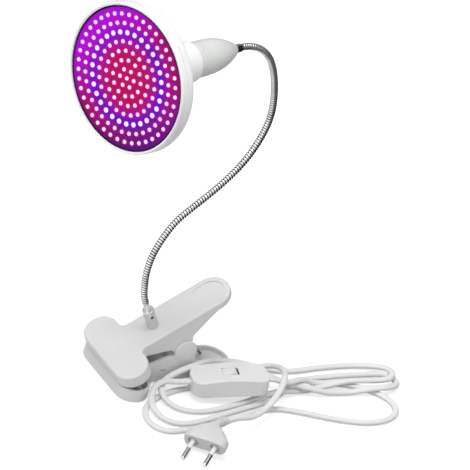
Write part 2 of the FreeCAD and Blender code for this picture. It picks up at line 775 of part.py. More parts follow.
def make_driver_board():
    half = neck_radius - bulb_wall - driver_gap
    return head_place(Part.makeBox(2 * half, driver_thickness, driver_length, V(-half, -driver_thickness / 2, driver_low)))


def make_driver_parts():
    """The capacitor, choke and bridge on the driver board, each its own solid."""
    can = Part.makeCylinder(4.0, 12.0, V(-5.0, driver_thickness / 2 + 4.0, driver_low + 14.0))
    choke = Part.makeBox(9.0, 7.0, 9.0, V(1.5, driver_thickness / 2, driver_low + 15.0))
    bridge = Part.makeBox(5.0, 2.4, 5.0, V(-2.5, -driver_thickness / 2 - 2.4, driver_low + 5.0))
    return Part.makeCompound([head_place(piece) for piece in (can, choke, bridge)])


# Inline switch
def switch_lift(shape):
    placed = shape.copy()
    placed.rotate(ORIGIN, Y_AXIS, -switch_pitch)
    placed.rotate(ORIGIN, Z_AXIS, switch_heading)
    placed.translate(V(*switch_place))
    return placed


def switch_block(inset, low, high):
    side = switch_width / 2 - inset
    corner = switch_corner - inset
    face = rounded_face([(inset, -side, corner), (switch_length - inset, -side, corner),
                         (switch_length - inset, side, corner), (inset, side, corner)])
    face.translate(V(0, 0, low))
    return face.extrude(V(0, 0, high - low))


def switch_envelope(inset):
    """The space under the cover's arched top."""
    low = V(-1, 0, switch_end_height - inset)
    high = V(switch_length / 2, 0, switch_height - inset)
    far = V(switch_length + 1, 0, switch_end_height - inset)
    edges = [Part.Arc(low, high, far).toShape(),
             Part.LineSegment(far, V(far.x, 0, -1)).toShape(),
             Part.LineSegment(V(far.x, 0, -1), V(low.x, 0, -1)).toShape(),
             Part.LineSegment(V(low.x, 0, -1), low).toShape()]
    slab = Part.Face(Part.Wire(edges)).extrude(V(0, 2 * switch_width, 0))
    slab.translate(V(0, -switch_width, 0))
    return slab


def cord_ports():
    """Holes for the cord through both ends of the switch."""
    radius = cord_radius + cord_grip
    return Part.makeCylinder(radius, switch_length + 2, V(-1, 0, switch_split), X_AXIS)


def make_switch_base():
    base = switch_block(0, 0, switch_split)
    rim = [edge for edge in base.Edges if edge.BoundBox.ZMax < 1e-6]
    base = base.makeFillet(switch_edge, rim)
    base = base.cut(switch_block(switch_wall, switch_wall, switch_split + 1))
    for x in (screw_inset, switch_length - screw_inset):
        base = base.fuse(Part.makeCylinder(2.6, switch_split - switch_wall, V(x, screw_side, switch_wall)))
        base = base.cut(Part.makeCylinder(1.3, switch_split, V(x, screw_side, 0)))
        base = base.cut(Part.makeCylinder(2.2, 1.4, V(x, screw_side, 0)))
    return switch_lift(base.cut(cord_ports()).removeSplitter())


def make_switch_cover():
    cover = switch_block(0, switch_split, switch_height + 1).common(switch_envelope(0))
    top = [edge for edge in cover.Edges if edge.BoundBox.ZMin > switch_split + 1]
    cover = cover.makeFillet(switch_edge, top)
    hollow = switch_block(switch_wall, switch_split - 1, switch_height + 1).common(switch_envelope(switch_wall))
    cover = cover.cut(hollow)
    middle = switch_length / 2
    window = Part.makeBox(rocker_length, rocker_width, switch_height,
                          V(middle - rocker_length / 2, -rocker_width / 2, switch_split))
    cover = cover.cut(window)
    for side in (-1, 1):
        post = Part.makeBox(4.0, 1.4, switch_height - switch_split - switch_wall / 2,
                            V(middle - 2.0, side * (rocker_width / 2 + 0.7) - 0.7, switch_split))
        cover = cover.fuse(post)
    cover = cover.cut(Part.makeCylinder(rocker_pin_radius, rocker_width + 2.8,
                                        V(middle, -rocker_width / 2 - 1.4, rocker_axis_height), Y_AXIS))
    for x in (screw_inset, switch_length - screw_inset):
        boss = Part.makeCylinder(2.6, switch_height, V(x, screw_side, switch_split))
        cover = cover.fuse(boss.common(switch_envelope(switch_wall / 2)))
        cover = cover.cut(Part.makeCylinder(1.0, 2.6, V(x, screw_side, switch_split)))
    return switch_lift(cover.cut(cord_ports()).removeSplitter())


rocker_axis_height = 11.5


def make_rocker():
    """A key with a shallow valley across its top, on its own pin, at rest with its clip-side half down."""
    middle = switch_length / 2
    half = rocker_length / 2 - rocker_end_gap
    side = rocker_width / 2 - rocker_gap
    top = switch_height + rocker_rise
    valley = top - half * math.tan(math.radians(rocker_tilt))
    foot = rocker_axis_height - 1.0
    key = side_plate([(-half, foot), (-half, top), (0, valley), (half, top), (half, foot)], -side, side)
    reach = Part.makeCylinder(half, 4 * side, V(0, -2 * side, rocker_axis_height), Y_AXIS)
    key = key.common(reach.fuse(Part.makeBox(2 * half, 4 * side, 3.0, V(-half, -2 * side, rocker_axis_height + 2.5))))
    key = key.cut(Part.makeCylinder(rocker_pin_radius + running_gap, 4 * side, V(0, -2 * side, rocker_axis_height),
                                    Y_AXIS))
    key.rotate(V(0, 0, rocker_axis_height), Y_AXIS, -rocker_tilt)
    key.translate(V(middle, 0, 0))
    return switch_lift(key)


def make_rocker_pin():
    return switch_lift(Part.makeCylinder(rocker_pin_radius, rocker_width + 2.8,
                                         V(switch_length / 2, -rocker_width / 2 - 1.4, rocker_axis_height), Y_AXIS))


def make_switch_contacts():
    pieces = []
    for x in (switch_length / 2 - 9.0, switch_length / 2 + 5.0):
        pieces.append(Part.makeBox(4.0, 5.0, 4.0, V(x, -2.5, switch_wall)))
    return Part.makeCompound([switch_lift(piece) for piece in pieces])


def make_case_screws():
    screws = []
    for x in (screw_inset, switch_length - screw_inset):
        shank = Part.makeCylinder(1.0, switch_split + 0.6, V(x, screw_side, 1.0))
        screws.append(switch_lift(shank.fuse(Part.makeCylinder(1.9, 1.0, V(x, screw_side, 0.4)))))
    return Part.makeCompound(screws)


# Plug
relief_axis = V(*relief_lean)
relief_bend = V(plug_body_length + relief_root, 0, 0)
relief_mouth = relief_bend + relief_axis * relief_length


def plug_lift(shape):
    placed = shape.copy()
    placed.rotate(ORIGIN, X_AXIS, plug_roll)
    placed.rotate(ORIGIN, Y_AXIS, -plug_pitch)
    placed.rotate(ORIGIN, Z_AXIS, plug_heading)
    placed.translate(V(*plug_place))
    return placed


def plug_section(x, width, thickness, corner):
    face = rounded_face([(-width / 2, -thickness / 2, corner), (width / 2, -thickness / 2, corner),
                         (width / 2, thickness / 2, corner), (-width / 2, thickness / 2, corner)])
    wire = face.OuterWire.copy()
    wire.rotate(ORIGIN, X_AXIS, 90)
    wire.rotate(ORIGIN, Z_AXIS, 90)
    wire.translate(V(x, 0, 0))
    return wire


def make_plug_body():
    """A flat wedge of a body, waisted towards its ribbed strain relief."""
    sections = [
        plug_section(0, plug_width - 1.5, plug_thickness - 1.5, 5.2),
        plug_section(2.0, plug_width, plug_thickness, 6.0),
        plug_section(8.0, plug_width - 1.0, plug_thickness, 6.0),
        plug_section(15.0, plug_width * 0.62, plug_thickness * 0.9, 5.6),
        plug_section(plug_body_length, plug_tail_width, plug_tail_thickness, 3.8),
    ]
    body = Part.makeLoft(sections, True, True)
    pieces = [tube([V(plug_body_length - 2.0, 0, 0), relief_bend, relief_mouth], relief_radius, "relief")]
    for along in (0.18, 0.45, 0.72):
        foot = relief_bend + relief_axis * (along * relief_length)
        pieces.append(Part.makeCylinder(relief_rib_radius - 1.4 * along * along, 1.4, foot, relief_axis))
    body = body.multiFuse(pieces)
    for side in (-1, 1):
        body = body.cut(Part.makeCylinder(pin_sleeve_radius, 8.0, V(-1, side * pin_spacing / 2, 0), X_AXIS))
        body = body.cut(Part.makeCylinder(pin_recess_radius, 1.0 + pin_recess_depth,
                                          V(-1, side * pin_spacing / 2, 0), X_AXIS))
    return plug_lift(body.removeSplitter())


def make_plug_pins():
    pins = []
    for side in (-1, 1):
        bare = pin_length - sleeve_cover
        pin = Part.makeCylinder(plug_pin_radius, bare, V(-pin_length, side * pin_spacing / 2, 0), X_AXIS)
        pin = pin.makeFillet(1.2, [edge for edge in pin.Edges if edge.BoundBox.XMax < -pin_length + 1e-6])
        neck = Part.makeCylinder(plug_pin_neck, sleeve_cover + 6.0, V(-sleeve_cover, side * pin_spacing / 2, 0), X_AXIS)
        pins.append(plug_lift(pin.fuse(neck).removeSplitter()))
    return Part.makeCompound(pins)


def make_pin_sleeves():
    sleeves = []
    for side in (-1, 1):
        outer = Part.makeCylinder(pin_sleeve_radius, sleeve_cover + 6.0, V(-sleeve_cover, side * pin_spacing / 2, 0),
                                  X_AXIS)
        inner = Part.makeCylinder(plug_pin_neck, sleeve_cover + 6.0, V(-sleeve_cover, side * pin_spacing / 2, 0), X_AXIS)
        sleeves.append(plug_lift(outer.cut(inner)))
    return Part.makeCompound(sleeves)


# Cords
def switch_point(x, y, z):
    """The place of a point drawn in the switch's own frame."""
    return switch_lift(Part.Vertex(x, y, z)).Point


def plug_point(x, y, z):
    """The place of a point drawn in the plug's own frame."""
    return plug_lift(Part.Vertex(x, y, z)).Point


def make_clip_lead():
    top = post_top - post_axis * collar_below
    foot = post_foot - post_axis * (post_shank_length + 4.0)
    points = [top, foot] + [V(*point) for point in clip_lead_points] + [cord_meeting]
    return tube(points, lead_radius, "clip_lead")


def make_cord_clip_to_switch():
    port = switch_point(switch_wall + 3.0, 0, switch_split)
    outside = switch_point(-10.0, 0, switch_split)
    points = [cord_meeting] + [V(*point) for point in first_cord_points] + [outside, port]
    return tube(points, cord_radius, "cord_clip_to_switch")


def make_cord_switch_to_plug():
    port = switch_point(switch_length - switch_wall - 3.0, 0, switch_split)
    outside = switch_point(switch_length + 5.0, 0, switch_split)
    mouth = plug_point(*relief_mouth)
    beyond = plug_point(*(relief_mouth + relief_axis * 8.0))
    points = [port, outside] + [V(*point) for point in second_cord_points] + [beyond, mouth]
    return tube(points, cord_radius, "cord_switch_to_plug")


os.makedirs("parts", exist_ok=True)
save("clip_lead", make_clip_lead())
save("cord_clip_to_switch", make_cord_clip_to_switch())
save("cord_switch_to_plug", make_cord_switch_to_plug())
save("upper_half", make_upper_half())
save("lower_half", make_lower_half())
save("pivot_pin", make_pivot_pin())
save("torsion_spring", make_torsion_spring())
save("post", make_post())
save("set_screw", make_set_screw())
save("post_washer", make_post_washer())
save("post_nut", make_post_nut())
save("lower_collar", make_lower_collar())
save("gooseneck_hose", make_gooseneck_hose())
save("neck_lead", make_neck_lead())
save("upper_collar", make_upper_collar())
save("holder_shell", make_holder_shell())
save("holder_nut", make_holder_nut())
save("socket_core", make_socket_core())
save("screw_sleeve", make_screw_sleeve())
save("centre_contact", make_centre_contact())
save("terminal_screws", make_terminal_screws())
save("bulb_housing", make_bulb_housing())
save("led_board", make_led_board())
save("red_leds", make_leds(red_rings))
save("blue_leds", make_leds(blue_rings))
save("screw_cap", make_screw_cap())
save("base_insulator", make_base_insulator())
save("contact_tip", make_contact_tip())
save("driver_board", make_driver_board())
save("driver_parts", make_driver_parts())
save("switch_base", make_switch_base())
save("switch_cover", make_switch_cover())
save("rocker", make_rocker())
save("rocker_pin", make_rocker_pin())
save("switch_contacts", make_switch_contacts())
save("case_screws", make_case_screws())
save("plug_body", make_plug_body())
save("plug_pins", make_plug_pins())
save("pin_sleeves", make_pin_sleeves())
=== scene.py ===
# %% [markdown]
# # A clip-on grow lamp
# A sprung clip lies on a table and carries a bendable metal neck, a lampholder and a broad flat LED bulb. A
# white cord runs from the clip through an inline switch to a two-pin plug, in loose loops. The rigid pieces
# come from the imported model, and this script gives them their finishes. It adds the switch's soft key, the
# cord, the wound hose, the spring that works with both halves of the clip, and the small lit lenses. These
# are shapes that suit modelling better than drafting.

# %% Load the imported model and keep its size
import math

import bpy
from mathutils import Matrix, Vector


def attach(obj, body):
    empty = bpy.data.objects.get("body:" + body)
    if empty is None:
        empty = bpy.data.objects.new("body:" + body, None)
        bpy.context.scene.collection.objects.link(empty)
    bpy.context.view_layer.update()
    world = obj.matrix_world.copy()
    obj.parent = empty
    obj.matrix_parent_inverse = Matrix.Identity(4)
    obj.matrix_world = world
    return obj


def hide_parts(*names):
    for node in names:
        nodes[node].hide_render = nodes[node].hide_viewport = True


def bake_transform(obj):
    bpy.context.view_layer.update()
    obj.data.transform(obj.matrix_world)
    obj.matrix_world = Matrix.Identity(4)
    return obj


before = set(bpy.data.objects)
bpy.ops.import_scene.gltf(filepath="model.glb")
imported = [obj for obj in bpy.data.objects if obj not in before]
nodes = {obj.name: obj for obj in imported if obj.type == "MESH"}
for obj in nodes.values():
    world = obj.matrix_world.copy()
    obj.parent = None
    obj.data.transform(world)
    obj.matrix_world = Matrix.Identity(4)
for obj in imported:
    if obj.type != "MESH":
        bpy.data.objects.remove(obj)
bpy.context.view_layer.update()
scene = bpy.context.scene
print("pieces in the packed model:", len(nodes))

# %% [markdown]
# ## The camera
# The picture was taken with a long lens from above the front left, so lines that are parallel on the lamp
# stay parallel in the view. The camera stands far back with a lens to match, and leans slightly, as a
# hand-held one does. Its three directions are unit vectors in the lamp's own frame.

# %% Camera
view_right = Vector((0.8341, -0.4908, 0.2519))
view_up = Vector((0.1011, 0.5849, 0.8048))
view_back = view_right.cross(view_up).normalized()
view_up = view_back.cross(view_right).normalized()
view_right = view_up.cross(view_back).normalized()
frame_pixels = 470
pixels_per_metre = 1300
origin_pixel = (165.87, 368.93)
middle_depth = 0.1
camera_distance = 17.0

middle = frame_pixels / 2
aim = (view_right * ((middle - origin_pixel[0]) / pixels_per_metre)
       + view_up * ((origin_pixel[1] - middle) / pixels_per_metre)
       + view_back * middle_depth)
camera_data = bpy.data.cameras.new("photo_camera")
camera_data.sensor_width = 36.0
camera_data.lens = camera_data.sensor_width * pixels_per_metre * camera_distance / frame_pixels
camera_data.clip_start = 1.0
camera_data.clip_end = 60.0
camera = bpy.data.objects.new("photo_camera", camera_data)
camera_place = Matrix((view_right, view_up, view_back)).transposed().to_4x4()
camera_place.translation = aim + view_back * camera_distance
camera.matrix_world = camera_place
scene.collection.objects.link(camera)
scene.camera = camera
print("lens in mm:", round(camera_data.lens, 1))

# %% [markdown]
# ## Working by hand, in code
# Operators act on whatever is selected, and a freshly loaded model is selected all over. `only` leaves one
# object selected and active, and `bake_in` applies its modifiers one by one, as the apply button does.
# Points that are closer than the weld distance become one.


# %% Selection and clean-up helpers
weld_distance = 0.00001


def only(piece):
    bpy.ops.object.select_all(action="DESELECT")
    piece.select_set(True)
    bpy.context.view_layer.objects.active = piece
    return piece


def bake_in(piece):
    only(piece)
    for modifier in list(piece.modifiers):
        bpy.ops.object.modifier_apply(modifier=modifier.name)
    return piece


# %% [markdown]
# ## The switch key
# The inline switch has a moulded key that tips about a pin across its middle. Its far half stands proud of
# the case as a soft ridge, and its near half lies flush. Seen from the side it is one smooth outline, so it
# is drawn as a flat curve, thickened to the key's width with rounded edges, and then turned into a mesh.

# %% The key's outline, about its pin, in metres
key_outline = [
    (-0.0064, 0.0000), (-0.0065, 0.0022), (-0.0064, 0.0042), (-0.0044, 0.0046), (-0.0020, 0.0050),
    (0.0004, 0.0060), (0.0018, 0.0072), (0.0027, 0.0076), (0.0034, 0.0068), (0.0043, 0.0054),
    (0.0052, 0.0042), (0.0055, 0.0032), (0.0054, 0.0010), (0.0048, 0.0000), (0.0000, -0.0012),
]
key_width = 0.0084
key_edge = 0.0006
switch_place = Vector((0.0003, -0.0335, 0.0042))
switch_heading = math.radians(-17.0)
switch_pitch = math.radians(7.5)
key_pin = Vector((0.0310, 0.0, 0.0115))


def model_key():
    curve = bpy.data.curves.new("switch_key", "CURVE")
    curve.dimensions = "2D"
    curve.fill_mode = "BOTH"
    spline = curve.splines.new("POLY")
    spline.points.add(len(key_outline) - 1)
    for point, place in zip(spline.points, key_outline):
        point.co = (*place, 0.0, 1.0)
    spline.use_cyclic_u = True
    curve.extrude = key_width / 2 - key_edge
    curve.bevel_depth = key_edge
    curve.bevel_resolution = 3
    curve.offset = -key_edge
    piece = bpy.data.objects.new("switch_key", curve)
    scene.collection.objects.link(piece)
    piece.matrix_world = (Matrix.Translation(switch_place) @ Matrix.Rotation(switch_heading, 4, "Z")
                          @ Matrix.Rotation(-switch_pitch, 4, "Y") @ Matrix.Translation(key_pin)
                          @ Matrix.Rotation(math.pi / 2, 4, "X"))
    only(piece)
    bpy.ops.object.convert(target="MESH")
    bpy.ops.object.transform_apply(location=True, rotation=True, scale=True)
    bpy.ops.object.mode_set(mode="EDIT")
    bpy.ops.mesh.select_all(action="SELECT")
    bpy.ops.mesh.remove_doubles(threshold=weld_distance)
    bpy.ops.mesh.normals_make_consistent(inside=False)
    bpy.ops.object.mode_set(mode="OBJECT")
    bpy.ops.object.shade_smooth_by_angle(angle=math.radians(35))
    return piece


switch_key = model_key()
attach(switch_key, "switch_key")
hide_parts("rocker")
print("faces in the key:", len(switch_key.data.polygons))

# %% [markdown]
# ## The cord
# A mains cord is one fixed length of flexible lead. It is laid as a smooth spline through the loops, and a
# small outline is swept along that line to give it its body. The outline is an oval, because two insulated
# cores lie side by side under the white sheath. The swept curve is then turned into a mesh, like every
# other piece.

# %% A smooth line through a route
def smooth_line(name, route):
    curve = bpy.data.curves.new(name, "CURVE")
    curve.dimensions = "3D"
    spline = curve.splines.new("NURBS")
    spline.points.add(len(route) - 1)
    for point, place in zip(spline.points, route):
        point.co = (*place, 1.0)
    spline.order_u = 3
    spline.use_endpoint_u = True
    spline.resolution_u = 7
    piece = bpy.data.objects.new(name, curve)
    scene.collection.objects.link(piece)
    return piece


# %% The oval outline of the cord
core_radius = 0.0019
core_offset = 0.00065
outline_points = 24

outline_curve = bpy.data.curves.new("cord_outline", "CURVE")
outline_curve.dimensions = "2D"
outline_spline = outline_curve.splines.new("POLY")
outline_spline.points.add(outline_points - 1)
for k, point in enumerate(outline_spline.points):
    angle = 2 * math.pi * k / outline_points
    shift = core_offset * abs(math.cos(angle))
    reach = shift + math.sqrt(core_radius ** 2 - (core_offset * math.sin(angle)) ** 2)
    point.co = (reach * math.cos(angle), reach * math.sin(angle), 0.0, 1.0)
outline_spline.use_cyclic_u = True
cord_outline = bpy.data.objects.new("cord_outline", outline_curve)
scene.collection.objects.link(cord_outline)

# %% Routes of the two lengths, in metres
first_route = [
    (0.0300, -0.0030, 0.00425), (0.0460, -0.0030, 0.00425), (0.0620, -0.0090, 0.00425),
    (0.0800, -0.0190, 0.00205), (0.1000, -0.0255, 0.00205), (0.1240, -0.0246, 0.00205),
    (0.1500, -0.0260, 0.00205), (0.1680, -0.0295, 0.00230), (0.1785, -0.0360, 0.00440),
    (0.1820, -0.0450, 0.00660), (0.1760, -0.0535, 0.00660), (0.1650, -0.0545, 0.00660),
    (0.1520, -0.0520, 0.00650), (0.1370, -0.0498, 0.00640), (0.1250, -0.0492, 0.00460),
    (0.1130, -0.0487, 0.00205), (0.0960, -0.0498, 0.00205), (0.0840, -0.0514, 0.00480),
    (0.0720, -0.0524, 0.00660), (0.0580, -0.0532, 0.00560), (0.0420, -0.0546, 0.00210),
    (0.0220, -0.0580, 0.00205), (0.0000, -0.0605, 0.00205), (-0.0180, -0.0555, 0.00205),
    (-0.0270, -0.0450, 0.00380), (-0.0275, -0.0355, 0.00680), (-0.0230, -0.0275, 0.00720),
    (-0.0155, -0.0228, 0.00960), (-0.0050, -0.0230, 0.01500), (0.0080, -0.0224, 0.01820),
    (0.0220, -0.0172, 0.01640), (0.0380, -0.0125, 0.01170), (0.0510, -0.0160, 0.00980),
    (0.0603, -0.0243, 0.01060), (0.0667, -0.0317, 0.01120), (0.0718, -0.0389, 0.01060),
    (0.0777, -0.0446, 0.00960), (0.0850, -0.0484, 0.00860), (0.0940, -0.0522, 0.00800),
    (0.1040, -0.0550, 0.00560), (0.1140, -0.0566, 0.00320), (0.1250, -0.0574, 0.00205),
    (0.1340, -0.0588, 0.00220), (0.1420, -0.0608, 0.00400), (0.1510, -0.0630, 0.00660),
    (0.1630, -0.0638, 0.00660), (0.1740, -0.0616, 0.00460), (0.1820, -0.0550, 0.00220),
    (0.1820, -0.0465, 0.00205), (0.1740, -0.0410, 0.00205), (0.1600, -0.0396, 0.00205),
    (0.1380, -0.0372, 0.00205), (0.1110, -0.0360, 0.00205), (0.0940, -0.0384, 0.00205),
    (0.0840, -0.0436, 0.00205), (0.0750, -0.0506, 0.00205), (0.0630, -0.0560, 0.00205),
    (0.0480, -0.0598, 0.00205), (0.0270, -0.0634, 0.00205), (0.0010, -0.0690, 0.00205),
    (-0.0240, -0.0726, 0.00205), (-0.0390, -0.0660, 0.00220), (-0.0440, -0.0530, 0.00460),
    (-0.0405, -0.0415, 0.00680), (-0.0335, -0.0325, 0.00960), (-0.0240, -0.0286, 0.01200),
    (-0.0101, -0.0303, 0.01033), (0.0037, -0.0345, 0.01224),
]
second_route = [
    (0.0538, -0.0499, 0.01913), (0.0629, -0.0526, 0.02038), (0.0750, -0.0528, 0.01440),
    (0.0860, -0.0504, 0.01360), (0.0945, -0.0472, 0.01200), (0.1030, -0.0446, 0.00660),
    (0.1120, -0.0432, 0.00260), (0.1240, -0.0446, 0.00205), (0.1380, -0.0490, 0.00205),
    (0.1510, -0.0570, 0.00205), (0.1600, -0.0665, 0.00205), (0.1645, -0.0775, 0.00205),
    (0.1610, -0.0895, 0.00205), (0.1490, -0.0975, 0.00205), (0.1290, -0.0985, 0.00205),
    (0.1040, -0.0890, 0.00205), (0.0830, -0.0765, 0.00205), (0.0640, -0.0670, 0.00205),
    (0.0440, -0.0668, 0.00205), (0.0180, -0.0730, 0.00205), (-0.0080, -0.0776, 0.00205),
    (-0.0300, -0.0790, 0.00205), (-0.0470, -0.0776, 0.00205), (-0.0545, -0.0660, 0.00205),
    (-0.0510, -0.0505, 0.00205), (-0.0385, -0.0395, 0.00205), (-0.0220, -0.0330, 0.00205),
    (-0.0040, -0.0290, 0.00205), (0.0160, -0.0304, 0.00205), (0.0340, -0.0296, 0.00260),
    (0.0480, -0.0256, 0.00460), (0.0580, -0.0220, 0.00580), (0.0670, -0.0208, 0.00680),
    (0.0748, -0.0242, 0.01040), (0.0790, -0.0310, 0.01480), (0.0794, -0.0394, 0.01820),
    (0.0756, -0.0486, 0.02060), (0.0690, -0.0584, 0.02020), (0.0610, -0.0655, 0.01640),
    (0.0516, -0.0722, 0.01300), (0.0380, -0.0804, 0.01180), (0.0240, -0.0876, 0.01380),
    (0.0130, -0.0910, 0.01720), (0.0046, -0.0915, 0.01914), (-0.0033, -0.0927, 0.01843),
]
print("points in the routes:", len(first_route), len(second_route))


def line_places(curve_piece):
    mesh = bpy.data.meshes.new_from_object(curve_piece)
    places = [vertex.co.copy() for vertex in mesh.vertices]
    bpy.data.meshes.remove(mesh)
    return places


def line_length(places):
    return sum((b - a).length for a, b in zip(places, places[1:]))


def lay_cord(name, route, stands_for):
    line = smooth_line(name, route)
    places = line_places(line)
    line.data.bevel_mode = "OBJECT"
    line.data.bevel_object = cord_outline
    line.data.twist_mode = "Z_UP"
    line.data.use_fill_caps = True
    only(line)
    bpy.ops.object.convert(target="MESH")
    piece = bpy.context.active_object
    bpy.ops.object.shade_smooth_by_angle(angle=math.radians(60))
    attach(piece, "base")
    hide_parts(stands_for)
    return piece


first_cord = lay_cord("cord_to_switch", first_route, "cord_clip_to_switch")
second_cord = lay_cord("cord_to_plug", second_route, "cord_switch_to_plug")
bpy.data.objects.remove(cord_outline)

# %% [markdown]
# ## The wound hose
# The neck is a hose of springy metal strip, wound so that each turn grips the next. A texture of stripes
# would give it a smooth outline, so one turn is modelled instead: a ring with a rounded crown and a tight
# seam. It is repeated with an Array modifier, and a Curve modifier bends the whole stack along the neck's
# line. The stack is made in two lengths, because the lower one bends at the post and the upper one at the
# lampholder.

# %% Line of the neck
neck_route = [
    (-0.0394, 0.0000, 0.06801), (-0.0424, 0.0000, 0.07318), (-0.0445, 0.0000, 0.08062),
    (-0.0478, 0.0000, 0.09612), (-0.0475, 0.0000, 0.11312), (-0.0431, 0.0000, 0.12862),
    (-0.0347, 0.0000, 0.14612), (-0.0203, 0.0000, 0.15912), (-0.0038, 0.0000, 0.17462),
    (0.0122, 0.0000, 0.19412), (0.0217, 0.0000, 0.21612), (0.0255, 0.0000, 0.23812),
    (0.0217, 0.0000, 0.26062), (0.0149, 0.0004, 0.28152), (0.0071, 0.0016, 0.29612),
    (-0.0041, 0.0032, 0.30492), (-0.0177, 0.0031, 0.30767), (-0.0236, 0.0017, 0.30801),
]
neck_line = smooth_line("neck_line", neck_route)
neck_length = line_length(line_places(neck_line))
strip_width = 0.00225
turn_count = round(neck_length / strip_width)
turn_pitch = neck_length / turn_count
print("neck length in mm:", round(1000 * neck_length, 1), "turns:", turn_count)

# %% One turn of the hose, grown ring by ring with extrude and resize
turn_sides = 20
crown_radius = 0.00285
seam_radius = 0.00205
# share at each end of a turn that takes the painted seam shade
painted_shade_share = 0.14
turn_profile = [(0.17, 0.70), (0.30, 0.93), (0.50, 1.0), (0.70, 0.93), (0.83, 0.70), (1.0, 0.0)]


def model_turn(name, start):
    bpy.ops.object.select_all(action="DESELECT")
    bpy.ops.mesh.primitive_circle_add(vertices=turn_sides, radius=seam_radius, location=(0.0, 0.0, 0.0))
    piece = bpy.context.active_object
    piece.name = name
    bpy.ops.object.mode_set(mode="EDIT")
    bpy.ops.mesh.select_all(action="SELECT")
    bpy.ops.transform.translate(value=(0.0, 0.0, start))
    height, radius = 0.0, seam_radius
    for share, rise in turn_profile:
        next_height = share * turn_pitch
        next_radius = seam_radius + rise * (crown_radius - seam_radius)
        bpy.ops.mesh.extrude_region_move(TRANSFORM_OT_translate={"value": (0.0, 0.0, next_height - height)})
        grow = next_radius / radius
        bpy.ops.transform.resize(value=(grow, grow, 1.0), center_override=(0.0, 0.0, start + next_height))
        height, radius = next_height, next_radius
    bpy.ops.mesh.select_all(action="SELECT")
    bpy.ops.mesh.normals_make_consistent(inside=False)
    bpy.ops.object.mode_set(mode="OBJECT")
    bpy.ops.object.shade_smooth()
    return piece


# %% [markdown]
# The seam between two turns is a deep groove that lies in shade, and that shade is painted: its faces take
# a second, near-black material before the turn is repeated, so that every copy carries it. A face belongs
# to the painted seam shade when its middle is near either end of the turn.

# %% Stack the turns and bend the stack along the neck
def wind_hose(name, first_turn, turns):
    start = first_turn * turn_pitch
    piece = model_turn(name, start)
    for _ in ("crown", "seam"):
        piece.data.materials.append(None)
    for face in piece.data.polygons:
        share = (face.center.z - start) / turn_pitch
        # faces near either end of the turn get the painted seam shade
        face.material_index = 1 if min(share, 1 - share) < painted_shade_share else 0
    repeat = piece.modifiers.new("turns", "ARRAY")
    repeat.fit_type = "FIXED_COUNT"
    repeat.count = turns
    repeat.use_relative_offset = False
    repeat.use_constant_offset = True
    repeat.constant_offset_displace = (0.0, 0.0, turn_pitch)
    repeat.use_merge_vertices = True
    repeat.merge_threshold = weld_distance
    bend = piece.modifiers.new("bend", "CURVE")
    bend.object = neck_line
    bend.deform_axis = "POS_Z"
    bake_in(piece)
    middle_place = sum((Vector(corner) for corner in piece.bound_box), Vector()) / 8
    print(name, "faces:", len(piece.data.polygons))
    print("middle in mm:", [round(1000 * c, 1) for c in middle_place])
    return piece


lower_turns = turn_count // 2
hose_lower = wind_hose("hose_lower", 0, lower_turns)
hose_upper = wind_hose("hose_upper", lower_turns, turn_count - lower_turns)
bpy.data.objects.remove(neck_line)

# %% [markdown]
# A lead runs inside the hose, from the post to the lampholder. It only shows when the neck bends at its
# ends, so it follows the same line in two lengths too.

# %% The lead inside the neck
lead_radius = 0.0014
lead_start = (-0.0293, 0.0, 0.05082)
lead_end = (-0.0512, -0.0051, 0.30966)
lead_split = 9


def round_lead(name, route):
    line = smooth_line(name, route)
    line.data.bevel_depth = lead_radius
    line.data.bevel_resolution = 2
    line.data.use_fill_caps = True
    only(line)
    bpy.ops.object.convert(target="MESH")
    return bpy.context.active_object


lead_lower = round_lead("lead_lower", [lead_start] + neck_route[1:lead_split + 1])
lead_upper = round_lead("lead_upper", neck_route[lead_split:-1] + [lead_end])

# %% The neck's pieces take the place of the drafted hose and lead
low_bend_end = neck_route[4]
high_bend_start = neck_route[12]
neck_lengths = [
    (hose_lower, lead_lower, "neck_foot", "neck", neck_route[0], low_bend_end),
    (hose_upper, lead_upper, "neck", "head", high_bend_start, neck_route[-1]),
]
for hose, lead, near_body, far_body, bend_start, bend_end in neck_lengths:
    for piece, node, slot in ((hose, "gooseneck_hose", "hose_chrome"), (lead, "neck_lead", "cord_white")):
        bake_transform(piece)
        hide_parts(node)
print("pieces that bend with the neck:", 2 * len(neck_lengths))

# %% [markdown]
# ## The clip's spring
# A torsion spring is one bent wire: a coil round the pivot, with a leg against each half of the clip. When
# the clip opens, one leg follows each half and the coil winds up between them. A copy of the drafted wire
# takes the drafted spring's place.

# %% A copy of the drafted spring
spring = bpy.data.objects.new("clip_spring", nodes["torsion_spring"].data.copy())
scene.collection.objects.link(spring)
spring.matrix_world = nodes["torsion_spring"].matrix_world
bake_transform(spring)
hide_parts("torsion_spring")
print("faces in the spring:", len(spring.data.polygons))

# %% [markdown]
# ## The lit lenses
# Each LED is a small package with a low lens that glows almost white. One lens is modelled and copied to
# every place in the rings. The places follow the same rings as the drafted LEDs, turned with the bulb's
# axis.

# %% Frame of the bulb
head_rear = Vector((-0.0303426, 0.0, 0.3084176))
head_axis = Vector((-0.96994, -0.23645, 0.05756)).normalized()
head_turn = Vector((0.0, 0.0, 1.0)).rotation_difference(head_axis)
board_front = 0.1200
face_radius = 0.0572
ring_pitch = 0.126 * face_radius
head_matrix = Matrix.Translation(head_rear) @ head_turn.to_matrix().to_4x4()
board_place = head_matrix @ Vector((0.0, 0.0, board_front))
print("middle of the board in mm:", [round(1000 * c, 1) for c in board_place])


# %% One lens, from a cylinder by extrude and resize
lens_sides = 12
lens_wall = 0.0006
lens_steps = [(0.00035, 0.86), (0.00022, 0.62)]


